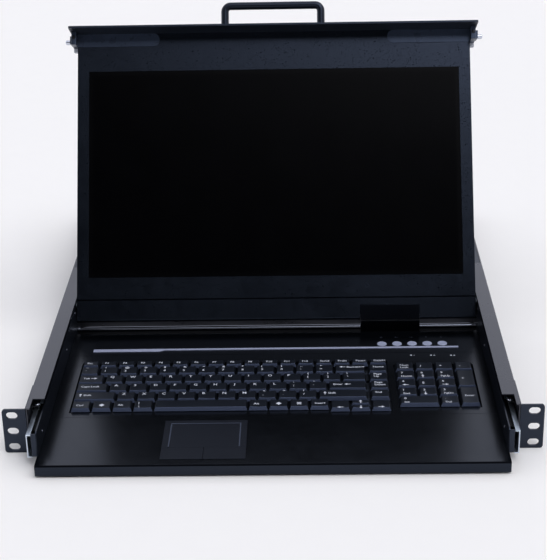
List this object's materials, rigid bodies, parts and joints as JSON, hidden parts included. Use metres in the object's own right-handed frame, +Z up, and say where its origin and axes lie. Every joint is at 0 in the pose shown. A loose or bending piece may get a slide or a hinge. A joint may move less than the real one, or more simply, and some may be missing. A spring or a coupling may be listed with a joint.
{
  "type": "rack console drawer with network keyboard-video-mouse switch",
  "caption": "Flat rack-mount drawer with a fold-up screen, keyboard, touchpad, telescopic slides, side latches and a rear panel of jacks for switching computers",
  "frame": {"origin": "centre of the rack-ear slot pattern, on the front plane of the ears", "axes": "X to the right as seen from the front, Y back into the rack, Z up"},
  "size_m": [0.4826, 0.61, 0.315],
  "materials": {
    "black_coat": "fine powder coat",
    "zinc": "zinc plated",
    "bright_rod": "bright plated",
    "jack_shield": "shielded jack body",
    "blue_plastic": "moulded",
    "black_plastic": "moulded",
    "rocker": "smooth",
    "board": "laminate",
    "supply_can": "plain sheet",
    "film": "smooth film",
    "silver": "satin",
    "keycap": "fine matt",
    "pad": "fine matt",
    "panel": "dark display glass"
  },
  "bodies": {
    "chassis": {"chassis_pan": "black_coat", "rack_ears": "black_coat", "rear_panel": "black_coat", "rear_cover": "black_coat", "bulkhead": "black_coat", "main_board": "board", "power_supply": "supply_can", "kvm_port_block": "jack_shield", "net_port_pairs": "jack_shield", "usb_ports": "zinc", "vga_port": "zinc", "vga_insert": "blue_plastic", "power_inlet": "black_plastic", "inlet_pins": "zinc", "slide_outer_left": "zinc", "slide_outer_right": "zinc"},
    "drawer": {"tray_pan": "black_coat", "keyboard_deck": "black_coat", "osd_overlay": "film", "osd_trim": "silver", "keyboard_base": "black_plastic", "touchpad": "pad", "tie_rod": "bright_rod", "cable_box": "black_coat", "slide_inner_left": "zinc", "slide_inner_right": "zinc"},
    "screen": {"screen_shell": "black_coat", "screen_bezel": "black_coat", "screen_glass": "panel", "cable_cover": "black_plastic", "hinge_pins": "zinc", "fascia_panel": "black_coat", "pull_handle": "black_coat", "latch_housings": "black_coat"},
    "rocker": {"rocker_switch": "rocker"},
    "slide_middle_left": {"slide_middle_left": "zinc"},
    "ball_cage_outer_left": {"ball_cage_outer_left": "zinc"},
    "ball_cage_inner_left": {"ball_cage_inner_left": "zinc"},
    "slide_middle_right": {"slide_middle_right": "zinc"},
    "ball_cage_outer_right": {"ball_cage_outer_right": "zinc"},
    "ball_cage_inner_right": {"ball_cage_inner_right": "zinc"},
    "latch_bolt_left": {"latch_bolt_left": "zinc"},
    "latch_bolt_right": {"latch_bolt_right": "zinc"},
    "keys_function": {"keys_function": "keycap"},
    "keys_number": {"keys_number": "keycap"},
    "keys_upper": {"keys_upper": "keycap"},
    "keys_home": {"keys_home": "keycap"},
    "keys_lower": {"keys_lower": "keycap"},
    "keys_bottom": {"keys_bottom": "keycap"},
    "space_bar": {"space_bar": "keycap"},
    "keys_nav": {"keys_nav": "keycap"},
    "keys_numpad": {"keys_numpad": "keycap"},
    "osd_button_1": {"osd_button_1": "silver"},
    "osd_button_2": {"osd_button_2": "silver"},
    "osd_button_3": {"osd_button_3": "silver"},
    "osd_button_4": {"osd_button_4": "silver"},
    "osd_button_5": {"osd_button_5": "silver"},
    "pad_button_left": {"pad_button_left": "pad"},
    "pad_button_right": {"pad_button_right": "pad"}
  },
  "joints": [
    {"name": "drawer_slide", "type": "slide", "parent": "chassis", "child": "drawer", "axis": [0, -1, 0], "range_m": [-0.0468, 0.25]},
    {"name": "slide_middle_left_run", "type": "slide", "parent": "chassis", "child": "slide_middle_left", "axis": [0, -1, 0], "range_m": [-0.0239, 0.1255]},
    {"name": "ball_cage_outer_left_run", "type": "slide", "parent": "chassis", "child": "ball_cage_outer_left", "axis": [0, -1, 0], "range_m": [-0.0122, 0.063]},
    {"name": "ball_cage_inner_left_run", "type": "slide", "parent": "chassis", "child": "ball_cage_inner_left", "axis": [0, -1, 0], "range_m": [-0.0356, 0.188]},
    {"name": "slide_middle_right_run", "type": "slide", "parent": "chassis", "child": "slide_middle_right", "axis": [0, -1, 0], "range_m": [-0.0239, 0.1255]},
    {"name": "ball_cage_outer_right_run", "type": "slide", "parent": "chassis", "child": "ball_cage_outer_right", "axis": [0, -1, 0], "range_m": [-0.0122, 0.063]},
    {"name": "ball_cage_inner_right_run", "type": "slide", "parent": "chassis", "child": "ball_cage_inner_right", "axis": [0, -1, 0], "range_m": [-0.0356, 0.188]},
    {"name": "screen_hinge", "type": "hinge", "parent": "drawer", "child": "screen", "pos_m": [0, 0.2373, 0.0136], "axis": [1, 0, 0], "range_deg": [0, 120]},
    {"name": "latch_bolt_left_draw", "type": "slide", "parent": "screen", "child": "latch_bolt_left", "axis": [1, 0, 0], "range_m": [0, 0.0064], "stiffness_N_per_m": 300, "springref_m": -0.003},
    {"name": "latch_bolt_right_draw", "type": "slide", "parent": "screen", "child": "latch_bolt_right", "axis": [-1, 0, 0], "range_m": [0, 0.0064], "stiffness_N_per_m": 300, "springref_m": -0.003},
    {"name": "keys_function_press", "type": "slide", "parent": "drawer", "child": "keys_function", "axis": [0, 0, -1], "range_m": [0, 0.0022], "stiffness_N_per_m": 600, "springref_m": -0.002},
    {"name": "keys_number_press", "type": "slide", "parent": "drawer", "child": "keys_number", "axis": [0, 0, -1], "range_m": [0, 0.0022], "stiffness_N_per_m": 600, "springref_m": -0.002},
    {"name": "keys_upper_press", "type": "slide", "parent": "drawer", "child": "keys_upper", "axis": [0, 0, -1], "range_m": [0, 0.0022], "stiffness_N_per_m": 600, "springref_m": -0.002},
    {"name": "keys_home_press", "type": "slide", "parent": "drawer", "child": "keys_home", "axis": [0, 0, -1], "range_m": [0, 0.0022], "stiffness_N_per_m": 600, "springref_m": -0.002},
    {"name": "keys_lower_press", "type": "slide", "parent": "drawer", "child": "keys_lower", "axis": [0, 0, -1], "range_m": [0, 0.0022], "stiffness_N_per_m": 600, "springref_m": -0.002},
    {"name": "keys_bottom_press", "type": "slide", "parent": "drawer", "child": "keys_bottom", "axis": [0, 0, -1], "range_m": [0, 0.0022], "stiffness_N_per_m": 600, "springref_m": -0.002},
    {"name": "space_bar_press", "type": "slide", "parent": "drawer", "child": "space_bar", "axis": [0, 0, -1], "range_m": [0, 0.0022], "stiffness_N_per_m": 600, "springref_m": -0.002},
    {"name": "keys_nav_press", "type": "slide", "parent": "drawer", "child": "keys_nav", "axis": [0, 0, -1], "range_m": [0, 0.0022], "stiffness_N_per_m": 600, "springref_m": -0.002},
    {"name": "keys_numpad_press", "type": "slide", "parent": "drawer", "child": "keys_numpad", "axis": [0, 0, -1], "range_m": [0, 0.0022], "stiffness_N_per_m": 600, "springref_m": -0.002},
    {"name": "osd_button_1_press", "type": "slide", "parent": "drawer", "child": "osd_button_1", "axis": [0, 0, -1], "range_m": [0, 0.0012], "stiffness_N_per_m": 800, "springref_m": -0.0012},
    {"name": "osd_button_2_press", "type": "slide", "parent": "drawer", "child": "osd_button_2", "axis": [0, 0, -1], "range_m": [0, 0.0012], "stiffness_N_per_m": 800, "springref_m": -0.0012},
    {"name": "osd_button_3_press", "type": "slide", "parent": "drawer", "child": "osd_button_3", "axis": [0, 0, -1], "range_m": [0, 0.0012], "stiffness_N_per_m": 800, "springref_m": -0.0012},
    {"name": "osd_button_4_press", "type": "slide", "parent": "drawer", "child": "osd_button_4", "axis": [0, 0, -1], "range_m": [0, 0.0012], "stiffness_N_per_m": 800, "springref_m": -0.0012},
    {"name": "osd_button_5_press", "type": "slide", "parent": "drawer", "child": "osd_button_5", "axis": [0, 0, -1], "range_m": [0, 0.0012], "stiffness_N_per_m": 800, "springref_m": -0.0012},
    {"name": "pad_button_left_press", "type": "slide", "parent": "drawer", "child": "pad_button_left", "axis": [0, 0, -1], "range_m": [0, 0.0005], "stiffness_N_per_m": 1500, "springref_m": -0.0005},
    {"name": "pad_button_right_press", "type": "slide", "parent": "drawer", "child": "pad_button_right", "axis": [0, 0, -1], "range_m": [0, 0.0005], "stiffness_N_per_m": 1500, "springref_m": -0.0005},
    {"name": "rocker_turn", "type": "hinge", "parent": "chassis", "child": "rocker", "pos_m": [-0.1859, 0.5611, 0.0026], "axis": [1, 0, 0], "range_deg": [0, 16]}
  ],
  "couplings": [
    {"joint": "slide_middle_left_run", "follows": "drawer_slide", "ratio": 0.5},
    {"joint": "ball_cage_outer_left_run", "follows": "drawer_slide", "ratio": 0.25},
    {"joint": "ball_cage_inner_left_run", "follows": "drawer_slide", "ratio": 0.75},
    {"joint": "slide_middle_right_run", "follows": "drawer_slide", "ratio": 0.5},
    {"joint": "ball_cage_outer_right_run", "follows": "drawer_slide", "ratio": 0.25},
    {"joint": "ball_cage_inner_right_run", "follows": "drawer_slide", "ratio": 0.75}
  ]
}
